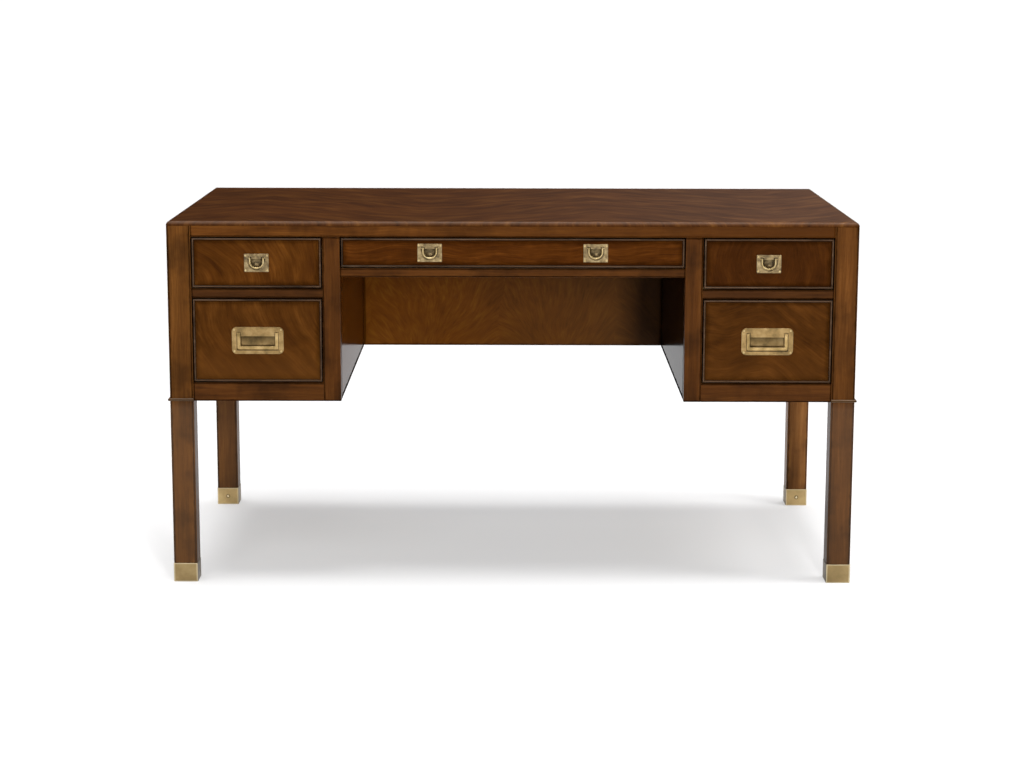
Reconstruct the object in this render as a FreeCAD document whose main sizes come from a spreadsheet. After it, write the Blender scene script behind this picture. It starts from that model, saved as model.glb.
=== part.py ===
# Kneehole writing desk in campaign style: five drawers on wooden runners, six let-in brass pulls.
# X runs to the right, Y to the back, Z up; the origin is on the floor under the middle of the desk.
import os
import re

import FreeCAD
import Part
import Sketcher

# Sizes in millimetres
sizes = {
    # whole desk
    "width": 1422,
    "depth": 762,
    "height": 762,
    # four square posts
    "post_width": 49,
    "post_ease": 1.5,
    "board_ease": 0.8,
    # top: a thin edge over the frame, a core let down between the rails
    "lip_thickness": 10,
    "lip_round": 9,
    "core_thickness": 9,
    # front frame
    "rail_set": 1,
    "rail_thickness": 22,
    "top_rail_height": 22.5,
    "upper_opening": 107.5,
    "mid_rail_height": 19,
    "lower_opening": 177.5,
    "bottom_rail_height": 38.5,
    "center_opening": 64.5,
    "center_rail_height": 18,
    "knee_width": 711,
    "stile_width": 36,
    # panels
    "panel_thickness": 18,
    "panel_reveal": 1.5,
    "modesty_inset": 8,
    "floor_thickness": 12,
    # wooden slides
    "runner_width": 20,
    "guide_height": 20,
    "stop_length": 14,
    "stop_height": 12,
    "stop_gap": 0.3,
    # bead round each post
    "collar_height": 5.6,
    "collar_reach": 3.8,
    "collar_round": 2.4,
    # brass feet
    "cap_height": 40,
    "cap_wall": 1.2,
    "cap_proud": 0.7,
    "cap_floor": 2,
    "cap_fit": 0.1,
    "cap_ease": 0.6,
    "cap_screw_radius": 1.5,
    "cap_screw_length": 13,
    "cap_head_radius": 2.6,
    "cap_head_height": 1.2,
    "screw_fit": 0.15,
    # drawers
    "drawer_gap": 2.6,
    "run_clearance": 0.4,
    "field_set": 0.3,
    "front_thickness": 20,
    "bead_width": 4,
    "bead_depth": 8,
    "bead_proud": 1.8,
    "bead_round": 1.8,
    "quirk_width": 2,
    "quirk_depth": 1.6,
    "field_ease": 0.6,
    "side_thickness": 12,
    "side_drop": 12,
    "side_round": 3,
    "dovetail_length": 10,
    "dovetail_flare": 1.7,
    "bottom_thickness": 6,
    "bottom_lift": 8,
    "groove_depth": 5,
    "dado_depth": 4,
    "drawer_length": 600,
    "center_length": 480,
    # pulls
    "plate_thickness": 1.8,
    "plate_ease": 0.5,
    "boss_depth": 10.2,
    "boss_wall": 2.2,
    "mortise_fit": 0.3,
    "hang_depth": 2.5,
    "hang_room": 0.5,
    "pin_radius": 1.2,
    "pin_fit": 0.06,
    "pin_hold": 0.5,
    "screw_radius": 1.2,
    "screw_length": 9,
    "screw_head_radius": 2.1,
    "screw_head_height": 0.8,
    "slot_width": 0.6,
    # small pull
    "small_wide": 50.5,
    "small_tall": 37.5,
    "small_corner": 0.8,
    "small_pivot": 10,
    "small_bow_center": 3,
    "small_bow": 14,
    "small_wire": 2,
    "small_side_room": 2,
    "small_ledge": 8.5,
    "small_slot": 8,
    "scoop_radius": 15.3,
    "scoop_depth": 10.8,
    "small_screw_x": 22.4,
    "small_screw_z": 15.2,
    "center_pull_spacing": 341,
    # large pull
    "large_wide": 107,
    "large_tall": 56.3,
    "large_corner": 10,
    "large_pivot": 15.3,
    "large_half": 42.5,
    "large_bar": 6.5,
    "large_drop": 34,
    "large_thick": 4,
    "large_outer_round": 4,
    "large_inner_round": 2.5,
    "large_bar_ease": 0.7,
    "large_side_room": 1,
    "large_low_room": 2,
    "large_well_high": 9,
    "large_well_depth": 8.5,
    "large_well_round": 2,
    "large_screw_x": 48.2,
    "large_screw_z": 22.6,
}

doc = FreeCAD.newDocument("CampaignDesk")
sheet = doc.addObject("Spreadsheet::Sheet", "Sizes")
for row, (alias, size) in enumerate(sizes.items(), start=1):
    sheet.set(f"A{row}", alias)
    sheet.set(f"B{row}", str(size))
    sheet.setAlias(f"B{row}", alias)
doc.recompute()

nodes = []


def linked(text):
    return re.sub(r"[a-z_]+", lambda word: ("Sizes." if word.group() in sizes else "") + word.group(), text)


def value(text):
    return float(sheet.evalExpression(text))


def bind(feature, prop, text):
    feature.setExpression(prop, linked(text))


def at(feature, x, y, z):
    for axis, text in zip("xyz", (x, y, z)):
        bind(feature, f"Placement.Base.{axis}", text)


def new_body(label):
    body = doc.addObject("PartDesign::Body", label)
    body.Label = label
    return body


def node(thing):
    nodes.append(thing)
    return thing


def group(label, members):
    joined = doc.addObject("Part::Compound", label)
    joined.Label = label
    joined.Links = members
    return node(joined)


# Features
def box(body, x, y, z, cut=False):
    block = body.newObject("PartDesign::SubtractiveBox" if cut else "PartDesign::AdditiveBox", "Block")
    for prop, (low, high) in zip(("Length", "Width", "Height"), (x, y, z)):
        bind(block, prop, f"({high}) - ({low})")
    at(block, x[0], y[0], z[0])
    doc.recompute()
    return block


turns = {
    "x": FreeCAD.Rotation(FreeCAD.Vector(0, 1, 0), 90),
    "y": FreeCAD.Rotation(FreeCAD.Vector(1, 0, 0), -90),
    "z": FreeCAD.Rotation(),
}


def rod(body, along, radius, length, x, y, z, cut=False):
    kind = "PartDesign::SubtractiveCylinder" if cut else "PartDesign::AdditiveCylinder"
    bar = body.newObject(kind, "Rod")
    bar.Placement = FreeCAD.Placement(FreeCAD.Vector(0, 0, 0), turns[along])
    bind(bar, "Radius", radius)
    bind(bar, "Height", length)
    at(bar, x, y, z)
    doc.recompute()
    return bar


def ball(body, radius, x, y, z, cut=False):
    lump = body.newObject("PartDesign::SubtractiveSphere" if cut else "PartDesign::AdditiveSphere", "Ball")
    bind(lump, "Radius", radius)
    at(lump, x, y, z)
    doc.recompute()
    return lump


def ease(body, radius, chosen=None):
    base = body.Tip
    rounding = body.newObject("PartDesign::Fillet", "Ease")
    if chosen is None:
        rounding.Base = (base, [""])
        rounding.UseAllEdges = True
    else:
        names = [f"Edge{i}" for i, edge in enumerate(base.Shape.Edges, start=1) if chosen(edge)]
        rounding.Base = (base, names)
    bind(rounding, "Radius", radius)
    doc.recompute()
    return rounding


def near(a, b):
    return abs(a - b) < 1e-4


def span(edge):
    room = edge.BoundBox
    return room.XLength, room.YLength, room.ZLength


def along_y(edge):
    dx, dy, dz = span(edge)
    return dy > 0.01 and dx < 0.01 and dz < 0.01


def lies_at(edge, y):
    return near(edge.BoundBox.YMin, y) and near(edge.BoundBox.YMax, y)


def rim_at(edge, y):
    return near(edge.BoundBox.Center.y, y) and len(edge.Vertexes) == 1


def outline(body, role, shift, points):
    sketch = body.newObject("Sketcher::SketchObject", "Outline")
    plane = [each for each in body.Origin.OriginFeatures if each.Role == role][0]
    sketch.AttachmentSupport = [(plane, "")]
    sketch.MapMode = "FlatFace"
    bind(sketch, "AttachmentOffset.Base.z", shift)
    loops = points if isinstance(points[0][0], tuple) else [points]
    for loop in loops:
        first = sketch.GeometryCount
        count = len(loop)
        corners = [FreeCAD.Vector(value(u), value(v), 0) for u, v in loop]
        for i in range(count):
            sketch.addGeometry(Part.LineSegment(corners[i], corners[(i + 1) % count]), False)
        for i in range(count):
            after = first + (i + 1) % count
            sketch.addConstraint(Sketcher.Constraint("Coincident", first + i, 2, after, 1))
        for i, (u, v) in enumerate(loop):
            where = first + i
            rule = sketch.addConstraint(Sketcher.Constraint("DistanceX", -1, 1, where, 1, corners[i].x))
            bind(sketch, f"Constraints[{rule}]", u)
            rule = sketch.addConstraint(Sketcher.Constraint("DistanceY", -1, 1, where, 1, corners[i].y))
            bind(sketch, f"Constraints[{rule}]", v)
    doc.recompute()
    return sketch


def pad(body, sketch, length):
    raised = body.newObject("PartDesign::Pad", "Raised")
    raised.Profile = sketch
    bind(raised, "Length", length)
    doc.recompute()
    return raised


def board(label, x, y, z, rounding="board_ease"):
    body = new_body(label)
    box(body, x, y, z)
    if rounding:
        ease(body, rounding)
    return body


def flip(low, high):
    return f"-({high})", f"-({low})"


def sided(side, low, high):
    return (low, high) if side > 0 else flip(low, high)


# Lines shared by the pieces
half_w = "(width / 2)"
front = "(-depth / 2)"
back = "(depth / 2)"
frame_top = "(height - lip_thickness)"
core_under = f"({frame_top} - core_thickness)"
upper_top = f"({frame_top} - top_rail_height)"
upper_low = f"({upper_top} - upper_opening)"
lower_top = f"({upper_low} - mid_rail_height)"
lower_low = f"({lower_top} - lower_opening)"
case_low = f"({lower_low} - bottom_rail_height)"
center_low = f"({upper_top} - center_opening)"
center_rail_low = f"({center_low} - center_rail_height)"
knee = "(knee_width / 2)"
wall_out = f"({knee} + panel_thickness)"
stile_out = f"({knee} + stile_width)"
post_in = f"({half_w} - post_width)"
panel_out = f"({half_w} - panel_reveal)"
panel_in = f"({panel_out} - panel_thickness)"
rail_face = f"({front} + rail_set)"
rail_back = f"({rail_face} + rail_thickness)"
rear_face = f"(-{rail_back})"
post_back = f"({front} + post_width)"
modesty_face = f"({back} - modesty_inset - panel_thickness)"
field = f"({rail_face} + field_set)"
field_back = f"({field} + front_thickness)"

# Top
top = node(new_body("desk_top"))
box(top, (f"-{half_w}", half_w), (front, back), (frame_top, "height"))
ease(top, "lip_round", lambda edge: all(near(v.Z, value("height")) for v in edge.Vertexes))
box(top, (f"-{post_in}", post_in), (rail_back, rear_face), (core_under, f"{frame_top} + lip_thickness / 2"))

# Posts, collars and feet
collars = []
caps = []
cap_screws = []
leg_end = "(cap_wall - cap_proud + cap_fit)"
for row_name, deep in (("front", -1), ("rear", 1)):
    for side_name, side in (("left", -1), ("right", 1)):
        name = f"{row_name}_{side_name}"
        px = sided(side, post_in, half_w)
        py = sided(deep, f"({back} - post_width)", back)
        post = node(new_body(f"{name}_post"))
        box(post, px, py, ("cap_height", frame_top))
        ease(post, "post_ease")
        box(
            post,
            (f"{px[0]} + {leg_end}", f"{px[1]} - {leg_end}"),
            (f"{py[0]} + {leg_end}", f"{py[1]} - {leg_end}"),
            ("cap_floor", "cap_height + post_width"),
        )
        mid_x = f"(({px[0]} + {px[1]}) / 2)"
        inner = py[1] if deep < 0 else py[0]
        sign = "-" if deep < 0 else "+"
        wall_face = f"({inner} {'+' if deep < 0 else '-'} cap_proud)"
        tip = f"({wall_face} {sign} cap_screw_length)"
        start = tip if deep < 0 else wall_face
        screw_z = "(cap_height / 2)"
        hole = "cap_screw_radius + screw_fit"
        hole_start = f"({tip} - screw_fit)" if deep < 0 else f"({wall_face} - cap_wall)"
        hole_length = "cap_screw_length + cap_wall + screw_fit"
        rod(post, "y", hole, hole_length, mid_x, hole_start, screw_z, cut=True)

        cap = new_body(f"{name}_foot_cap")
        box(
            cap,
            (f"{px[0]} - cap_proud", f"{px[1]} + cap_proud"),
            (f"{py[0]} - cap_proud", f"{py[1]} + cap_proud"),
            ("0", "cap_height"),
        )
        ease(cap, "cap_ease")
        thin = "(cap_wall - cap_proud)"
        box(
            cap,
            (f"{px[0]} + {thin}", f"{px[1]} - {thin}"),
            (f"{py[0]} + {thin}", f"{py[1]} - {thin}"),
            ("cap_floor", "2 * cap_height"),
            cut=True,
        )
        rod(cap, "y", hole, "cap_screw_length + cap_wall", mid_x, hole_start, screw_z, cut=True)
        caps.append(cap)

        screw = new_body(f"{name}_foot_screw")
        head_start = wall_face if deep < 0 else f"({wall_face} - cap_head_height)"
        rod(screw, "y", "cap_head_radius", "cap_head_height", mid_x, head_start, screw_z)
        head_tip = value(f"{wall_face} {'+' if deep < 0 else '-'} cap_head_height")
        ease(screw, "cap_head_height * 0.7", lambda edge: rim_at(edge, head_tip))
        rod(screw, "y", "cap_screw_radius", "cap_screw_length", mid_x, start, screw_z)
        cap_screws.append(screw)

        collar = new_body(f"{name}_collar")
        cx = sided(side, post_in, f"({half_w} + collar_reach)")
        cy = sided(deep, f"({back} - post_width)", f"({back} + collar_reach)")
        box(collar, cx, cy, (case_low, f"{case_low} + collar_height"))
        far_x = value(cx[1] if side > 0 else cx[0])
        far_y = value(cy[1] if deep > 0 else cy[0])

        def outer_edge(edge):
            flat = near(edge.Vertexes[0].Z, edge.Vertexes[-1].Z)
            on_x = all(near(v.X, far_x) for v in edge.Vertexes)
            on_y = all(near(v.Y, far_y) for v in edge.Vertexes)
            return flat and (on_x or on_y)

        ease(collar, "collar_round", outer_edge)
        inside_x = sided(side, f"({post_in} - 1)", half_w)
        inside_y = sided(deep, f"({back} - post_width - 1)", back)
        box(collar, inside_x, inside_y, (f"{case_low} - 1", f"{case_low} + collar_height + 1"), cut=True)
        collars.append(collar)

group("post_collars", collars)
group("foot_caps", caps)
group("foot_cap_screws", cap_screws)

# Frame and panels
rail_y = (rail_face, rail_back)
rear_y = flip(*rail_y)
node(board("front_top_rail", (f"-{post_in}", post_in), rail_y, (upper_top, frame_top)))
node(board("rear_top_rail", (f"-{post_in}", post_in), rear_y, (upper_top, frame_top)))
node(board("center_rail", (f"-{knee}", knee), rail_y, (center_rail_low, center_low)))
modesty_y = (modesty_face, f"{modesty_face} + panel_thickness")
node(board("modesty_panel", (f"-{knee}", knee), modesty_y, (case_low, upper_top)))

stiles = []
mid_rails = []
bottom_rails = []
back_panels = []
floors = []
runners = []
kickers = []
stops = []
runner_low = f"({lower_low} - mid_rail_height)"
levels = (("upper", upper_low, lower_top), ("lower", lower_low, runner_low))
for side_name, side in (("left", -1), ("right", 1)):
    stile_x = sided(side, knee, stile_out)
    opening_x = sided(side, stile_out, post_in)
    case_z = (case_low, upper_top)
    stiles.append(board(f"{side_name}_front_stile", stile_x, rail_y, case_z))
    stiles.append(board(f"{side_name}_rear_stile", stile_x, rear_y, case_z))
    mid_rails.append(board(f"{side_name}_mid_rail", opening_x, rail_y, (lower_top, upper_low)))
    bottom_rails.append(board(f"{side_name}_bottom_rail", opening_x, rail_y, (case_low, lower_low)))
    panel_y = (f"({back} - panel_reveal - panel_thickness)", f"({back} - panel_reveal)")
    back_panels.append(board(f"{side_name}_back_panel", opening_x, panel_y, case_z))
    between = (post_back, f"-{post_back}")
    deep_y = (rail_back, rear_face)
    node(board(f"{side_name}_side_panel", sided(side, panel_in, panel_out), between, (case_low, frame_top)))
    node(board(f"{side_name}_inner_side", sided(side, knee, wall_out), deep_y, (case_low, core_under)))

    floor = new_body(f"{side_name}_pedestal_floor")
    floor_z = (case_low, f"{case_low} + floor_thickness")
    box(floor, sided(side, wall_out, post_in), deep_y, floor_z)
    box(floor, sided(side, f"({post_in} - post_width)", panel_in), between, floor_z)
    floors.append(floor)

    inner_x = sided(side, wall_out, f"({stile_out} + runner_width)")
    outer_x = sided(side, f"({post_in} - runner_width)", post_in)
    inner_guide_x = sided(side, wall_out, stile_out)
    outer_guide_x = sided(side, post_in, panel_in)
    stop_y = f"({field} + drawer_length + stop_gap)"
    for level, high, low in levels:
        runners.append(board(f"{side_name}_{level}_inner_runner", inner_x, deep_y, (low, high), None))
        runners.append(board(f"{side_name}_{level}_outer_runner", outer_x, deep_y, (low, high), None))
        guide_z = (high, f"{high} + guide_height")
        kickers.append(board(f"{side_name}_{level}_inner_guide", inner_guide_x, deep_y, guide_z, None))
        outer_z = (low, f"{high} + guide_height")
        kickers.append(board(f"{side_name}_{level}_outer_guide", outer_guide_x, between, outer_z, None))
        block_y = (stop_y, f"{stop_y} + stop_length")
        block_z = (high, f"{high} + stop_height")
        inner_stop_x = sided(side, stile_out, f"({stile_out} + runner_width)")
        stops.append(board(f"{side_name}_{level}_inner_stop", inner_stop_x, block_y, block_z, None))
        stops.append(board(f"{side_name}_{level}_outer_stop", outer_x, block_y, block_z, None))
    kicker_z = (upper_top, core_under)
    kickers.append(board(f"{side_name}_inner_kicker", inner_x, deep_y, kicker_z, None))
    kickers.append(board(f"{side_name}_outer_kicker", outer_x, deep_y, kicker_z, None))

    center_x = sided(side, f"({knee} - runner_width)", knee)
    center_y = (rail_back, modesty_face)
    center_stop = f"({field} + center_length + stop_gap)"
    runner_z = (center_rail_low, center_low)
    runners.append(board(f"{side_name}_center_runner", center_x, center_y, runner_z, None))
    kickers.append(board(f"{side_name}_center_kicker", center_x, center_y, kicker_z, None))
    block_y = (center_stop, f"{center_stop} + stop_length")
    block_z = (center_low, f"{center_low} + stop_height")
    stops.append(board(f"{side_name}_center_stop", center_x, block_y, block_z, None))

group("pedestal_stiles", stiles)
group("mid_rails", mid_rails)
group("bottom_rails", bottom_rails)
group("back_panels", back_panels)
group("pedestal_floors", floors)
group("drawer_runners", runners)
group("kickers_and_guides", kickers)
group("drawer_stops", stops)

# Pulls
boss_back = "(boss_depth)"
pivot_y = "(hang_depth - plate_thickness)"
small_reach = "(small_bow + small_wire + small_side_room)"
small_sink = "(hang_depth + small_wire + hang_room)"
small_boss_x = f"({small_reach} + boss_wall)"
small_boss_low = f"(small_bow_center - {small_reach} - boss_wall / 2)"
small_boss_high = "(small_pivot + small_wire + hang_room + boss_wall)"
large_reach = "(large_half + large_side_room)"
large_boss_x = f"({large_reach} + boss_wall)"
large_low = "(large_pivot - large_drop)"
large_channel_low = f"({large_low} - large_low_room)"
large_channel_high = "(large_pivot + large_thick / 2 + hang_room)"
large_well_low = f"({large_low} + large_bar + large_side_room)"
large_sink = "(hang_depth + large_thick / 2 + hang_room)"
large_boss_low = f"({large_channel_low} - boss_wall)"
large_boss_high = f"({large_channel_high} + boss_wall)"
large_well_floor = "(large_well_depth - plate_thickness)"

kinds = {
    "small": {"boss_x": small_boss_x, "boss_low": small_boss_low, "boss_high": small_boss_high},
    "large": {"boss_x": large_boss_x, "boss_low": large_boss_low, "boss_high": large_boss_high},
}


def screw_points(kind):
    for sx in (-1, 1):
        for sz in (-1, 1):
            yield f"({sx} * {kind}_screw_x)", f"({sz} * {kind}_screw_z)"


def pull_plate(label, kind, cx, cz):
    body = new_body(label)
    wide, tall = f"({kind}_wide / 2)", f"({kind}_tall / 2)"
    box(body, (f"-{wide}", wide), ("-plate_thickness", "0"), (f"-{tall}", tall))
    ease(body, f"{kind}_corner", along_y)
    face = value("-plate_thickness")
    ease(body, "plate_ease", lambda edge: lies_at(edge, face))
    shape = kinds[kind]
    boss_x = shape["boss_x"]
    boss_z = (shape["boss_low"], shape["boss_high"])
    box(body, (f"-{boss_x}", boss_x), ("-plate_thickness / 2", boss_back), boss_z)
    mouth = "(-plate_thickness - 1)"
    if kind == "small":
        floor = f"({small_sink} - plate_thickness)"
        sunk = rod(body, "y", small_reach, f"{floor} - {mouth}", "0", mouth, "small_bow_center", cut=True)
        sunk.Angle = 180
        doc.recompute()
        ledge_z = ("small_bow_center", "small_ledge")
        box(body, (f"-{small_reach}", small_reach), (mouth, floor), ledge_z, cut=True)
        slot_z = ("small_bow_center", "small_pivot + small_wire + hang_room")
        for side in (-1, 1):
            slot_x = sided(side, f"({small_reach} - small_slot)", small_reach)
            box(body, slot_x, (mouth, floor), slot_z, cut=True)
        scoop_y = "(scoop_depth - plate_thickness - scoop_radius)"
        scoop = ball(body, "scoop_radius", "0", scoop_y, "small_bow_center", cut=True)
        bind(scoop, "Angle2", "asin((small_ledge - small_bow_center) / scoop_radius)")
        doc.recompute()
        pin_z = "small_pivot"
    else:
        floor = f"({large_sink} - plate_thickness)"
        arm = f"({large_reach} - large_bar - 2 * large_side_room)"
        channel_z = (large_channel_low, large_channel_high)
        box(body, (f"-{large_reach}", f"-{arm}"), (mouth, floor), channel_z, cut=True)
        box(body, (arm, large_reach), (mouth, floor), channel_z, cut=True)
        bar_z = (large_channel_low, large_well_low)
        box(body, (f"-{large_reach}", large_reach), (mouth, floor), bar_z, cut=True)
        well_z = (large_well_low, "large_well_high")
        box(body, (f"-{arm}", arm), (mouth, large_well_floor), well_z, cut=True)
        deep = value(large_well_floor)
        ease(body, "large_well_round", lambda edge: lies_at(edge, deep))
        pin_z = "large_pivot"
    rod(body, "x", "pin_radius + pin_fit", f"2 * {boss_x} + 2", f"-{boss_x} - 1", pivot_y, pin_z, cut=True)
    for sx, sz in screw_points(kind):
        rod(body, "y", "screw_radius + screw_fit", "plate_thickness + 2", sx, mouth, sz, cut=True)
    at(body, cx, field, cz)
    return body


def pull_screws(label, kind, cx, cz):
    made = []
    for i, (sx, sz) in enumerate(screw_points(kind), start=1):
        body = new_body(f"{label}_{i}")
        head = "(-plate_thickness - screw_head_height)"
        rod(body, "y", "screw_head_radius", "screw_head_height", sx, head, sz)
        tip = value(head)
        ease(body, "screw_head_height * 0.6", lambda edge: rim_at(edge, tip))
        slot_x = (f"{sx} - screw_head_radius - 1", f"{sx} + screw_head_radius + 1")
        slot_z = (f"{sz} - slot_width / 2", f"{sz} + slot_width / 2")
        box(body, slot_x, (f"{head} - 1", f"{head} + screw_head_height / 2"), slot_z, cut=True)
        rod(body, "y", "screw_radius", "plate_thickness + screw_length", sx, "-plate_thickness", sz)
        at(body, cx, field, cz)
        made.append(body)
    return made


def small_bail(label, cx, cz):
    body = new_body(label)
    bow = body.newObject("PartDesign::AdditiveTorus", "Bow")
    bow.Placement = FreeCAD.Placement(FreeCAD.Vector(0, 0, 0), turns["y"])
    bind(bow, "Radius1", "small_bow")
    bind(bow, "Radius2", "small_wire")
    bow.Angle3 = 180
    at(bow, "0", pivot_y, "small_bow_center")
    doc.recompute()
    for side in (-1, 1):
        x = f"({side} * small_bow)"
        rod(body, "z", "small_wire", "small_pivot - small_bow_center", x, pivot_y, "small_bow_center")
        ball(body, "small_wire", x, pivot_y, "small_pivot")
        reach = f"({small_reach} + boss_wall - pin_hold)"
        start = "small_bow" if side > 0 else f"-{reach}"
        rod(body, "x", "pin_radius", f"{reach} - small_bow", start, pivot_y, "small_pivot")
    at(body, cx, field, cz)
    return body


def large_bail(label, cx, cz):
    body = new_body(label)
    thick = (f"{pivot_y} - large_thick / 2", f"{pivot_y} + large_thick / 2")
    inner = "(large_half - large_bar)"
    box(body, ("-large_half", "large_half"), thick, (large_low, "large_pivot"))
    gap_z = (f"{large_low} + large_bar", "large_pivot + 1")
    box(body, (f"-{inner}", inner), ("-5 * large_thick", "5 * large_thick"), gap_z, cut=True)
    low = value(large_low)
    ease(body, "large_outer_round", lambda edge: along_y(edge) and near(edge.BoundBox.ZMin, low))
    bar_top = value(f"{large_low} + large_bar")
    ease(body, "large_inner_round", lambda edge: along_y(edge) and near(edge.BoundBox.ZMin, bar_top))
    ends = value("large_pivot")
    ease(body, "large_bar_ease", lambda edge: not near(edge.BoundBox.ZMin, ends) and not along_y(edge))
    for side in (-1, 1):
        start = inner if side > 0 else "-large_half"
        rod(body, "x", "large_thick / 2", "large_bar", start, pivot_y, "large_pivot")
        reach = f"({large_reach} + boss_wall - pin_hold)"
        start = f"({inner} + 1)" if side > 0 else f"-{reach}"
        rod(body, "x", "pin_radius", f"{reach} - {inner} - 1", start, pivot_y, "large_pivot")
    at(body, cx, field, cz)
    return body


# Drawers
def tail_lines(z_low, z_high, count):
    pitch = f"(({z_high} - {z_low}) / {count})"
    for i in range(count):
        middle = f"({z_low} + {pitch} * {i + 0.5})"
        root = f"({pitch} * 0.28)"
        wide = f"({root} + dovetail_flare)"
        yield f"{middle} - {root}", f"{middle} - {wide}", f"{middle} + {wide}", f"{middle} + {root}"


def drawer(name, x, z, length, tails, pulls):
    fx = (f"({x[0]} + drawer_gap)", f"({x[1]} - drawer_gap)")
    fz = (f"({z[0]} + drawer_gap)", f"({z[1]} - drawer_gap)")
    side_low = f"({z[0]} + run_clearance)"
    side_high = f"({z[1]} - side_drop)"
    rear = f"({field} + {length})"
    joint = f"({field_back} - dovetail_length)"
    bottom_low = f"({side_low} + bottom_lift)"
    bottom_high = f"({bottom_low} + bottom_thickness)"
    lines = list(tail_lines(side_low, side_high, tails))

    face = node(new_body(f"{name}_drawer_front"))
    inset = "(bead_width + quirk_width)"
    inset_x = (f"{fx[0]} + {inset}", f"{fx[1]} - {inset}")
    inset_z = (f"{fz[0]} + {inset}", f"{fz[1]} - {inset}")
    box(face, inset_x, (field, field_back), inset_z)
    ease(face, "field_ease")
    ix = (f"({fx[0]} + bead_width)", f"({fx[1]} - bead_width)")
    iz = (f"({fz[0]} + bead_width)", f"({fz[1]} - bead_width)")
    box(face, ix, (f"{field} + quirk_depth", field_back), iz)
    box(face, fx, (f"{field} + bead_depth", field_back), fz)
    past = f"{field_back} + 1"
    sockets = [((joint, b), (joint, c), (past, d), (past, a)) for a, b, c, d in widened(lines)]
    for start in (fx[0], f"({fx[1]} - side_thickness)"):
        sketch = outline(face, "YZ_Plane", start, sockets)
        cut = face.newObject("PartDesign::Pocket", "Socket")
        cut.Profile = sketch
        bind(cut, "Length", "side_thickness")
        cut.Reversed = True
        doc.recompute()
    groove_x = (f"{fx[0]} + side_thickness - groove_depth", f"{fx[1]} - side_thickness + groove_depth")
    groove_y = (f"{field_back} - groove_depth", f"{field_back} + 1")
    box(face, groove_x, groove_y, (bottom_low, bottom_high), cut=True)

    beads = []
    strips = {
        "top": ((ix[0], iz[1]), (ix[1], iz[1]), (fx[1], fz[1]), (fx[0], fz[1])),
        "bottom": ((fx[0], fz[0]), (fx[1], fz[0]), (ix[1], iz[0]), (ix[0], iz[0])),
        "left": ((fx[0], fz[0]), (ix[0], iz[0]), (ix[0], iz[1]), (fx[0], fz[1])),
        "right": ((ix[1], iz[0]), (fx[1], fz[0]), (fx[1], fz[1]), (ix[1], iz[1])),
    }
    lip = value(f"{field} - bead_proud")
    for where, points in strips.items():
        strip = new_body(f"{name}_bead_{where}")
        sketch = outline(strip, "XZ_Plane", f"-({field} + bead_depth)", points)
        pad(strip, sketch, "bead_depth + bead_proud")
        square = 0 if where in ("top", "bottom") else 2

        def long_lip(edge):
            lies = near(edge.BoundBox.YMin, lip) and near(edge.BoundBox.YMax, lip)
            straight = sum(size > 0.01 for size in span(edge)) == 1
            return lies and straight and span(edge)[square] > 1

        ease(strip, "bead_round", long_lip)
        beads.append(strip)
    group(f"{name}_cock_bead", beads)

    walls = []
    for where, start in (("left", fx[0]), ("right", f"({fx[1]} - side_thickness)")):
        edge_points = [(rear, side_low), (rear, side_high), (field_back, side_high)]
        for a, b, c, d in reversed(lines):
            edge_points += [(field_back, d), (joint, c), (joint, b), (field_back, a)]
        edge_points.append((field_back, side_low))
        wall = new_body(f"{name}_drawer_{where}_side")
        pad(wall, outline(wall, "YZ_Plane", start, edge_points), "side_thickness")
        crown = value(side_high)
        ease(wall, "side_round", lambda edge: near(edge.BoundBox.ZMin, crown) and along_y(edge))
        inner = (f"{fx[0]} + side_thickness - groove_depth", f"{fx[0]} + side_thickness + 1")
        notch = (f"{fx[0]} + side_thickness - dado_depth", f"{fx[0]} + side_thickness + 1")
        if where == "right":
            inner = (f"{fx[1]} - side_thickness - 1", f"{fx[1]} - side_thickness + groove_depth")
            notch = (f"{fx[1]} - side_thickness - 1", f"{fx[1]} - side_thickness + dado_depth")
        box(wall, inner, (f"{joint} - 1", f"{rear} + 1"), (bottom_low, bottom_high), cut=True)
        back_y = (f"{rear} - 2 * side_thickness", f"{rear} - side_thickness")
        box(wall, notch, back_y, (bottom_high, f"{side_high} + 1"), cut=True)
        walls.append(wall)
    back_x = (f"{fx[0]} + side_thickness - dado_depth", f"{fx[1]} - side_thickness + dado_depth")
    back_z = (bottom_high, f"{side_high} - side_round")
    walls.append(board(f"{name}_drawer_back", back_x, back_y, back_z, None))
    group(f"{name}_drawer_box", walls)
    bottom_y = (f"{field_back} - groove_depth", f"{rear} - side_thickness")
    node(board(f"{name}_drawer_bottom", groove_x, bottom_y, (bottom_low, bottom_high), None))

    plates = []
    screws = []
    cz = f"(({z[0]} + {z[1]}) / 2)"
    for pull_name, kind, cx in pulls:
        shape = kinds[kind]
        mortise_x = (f"{cx} - {shape['boss_x']} - mortise_fit", f"{cx} + {shape['boss_x']} + mortise_fit")
        mortise_low = f"{cz} + {shape['boss_low']} - mortise_fit"
        mortise_high = f"{cz} + {shape['boss_high']} + mortise_fit"
        mortise_z = (mortise_low, mortise_high)
        box(face, mortise_x, (f"{field} - 1", f"{field} + {boss_back} + mortise_fit"), mortise_z, cut=True)
        for sx, sz in screw_points(kind):
            pilot_x, pilot_z = f"{cx} + {sx}", f"{cz} + {sz}"
            pilot = "screw_radius + screw_fit"
            rod(face, "y", pilot, "screw_length + 2", pilot_x, f"{field} - 1", pilot_z, cut=True)
        plates.append(pull_plate(f"{pull_name}_pull_plate", kind, cx, cz))
        screws += pull_screws(f"{pull_name}_pull_screw", kind, cx, cz)
        node((small_bail if kind == "small" else large_bail)(f"{pull_name}_bail", cx, cz))
    if len(plates) == 1:
        node(plates[0])
    else:
        group(f"{name}_pull_plates", plates)
    group(f"{name}_pull_screws", screws)


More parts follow.
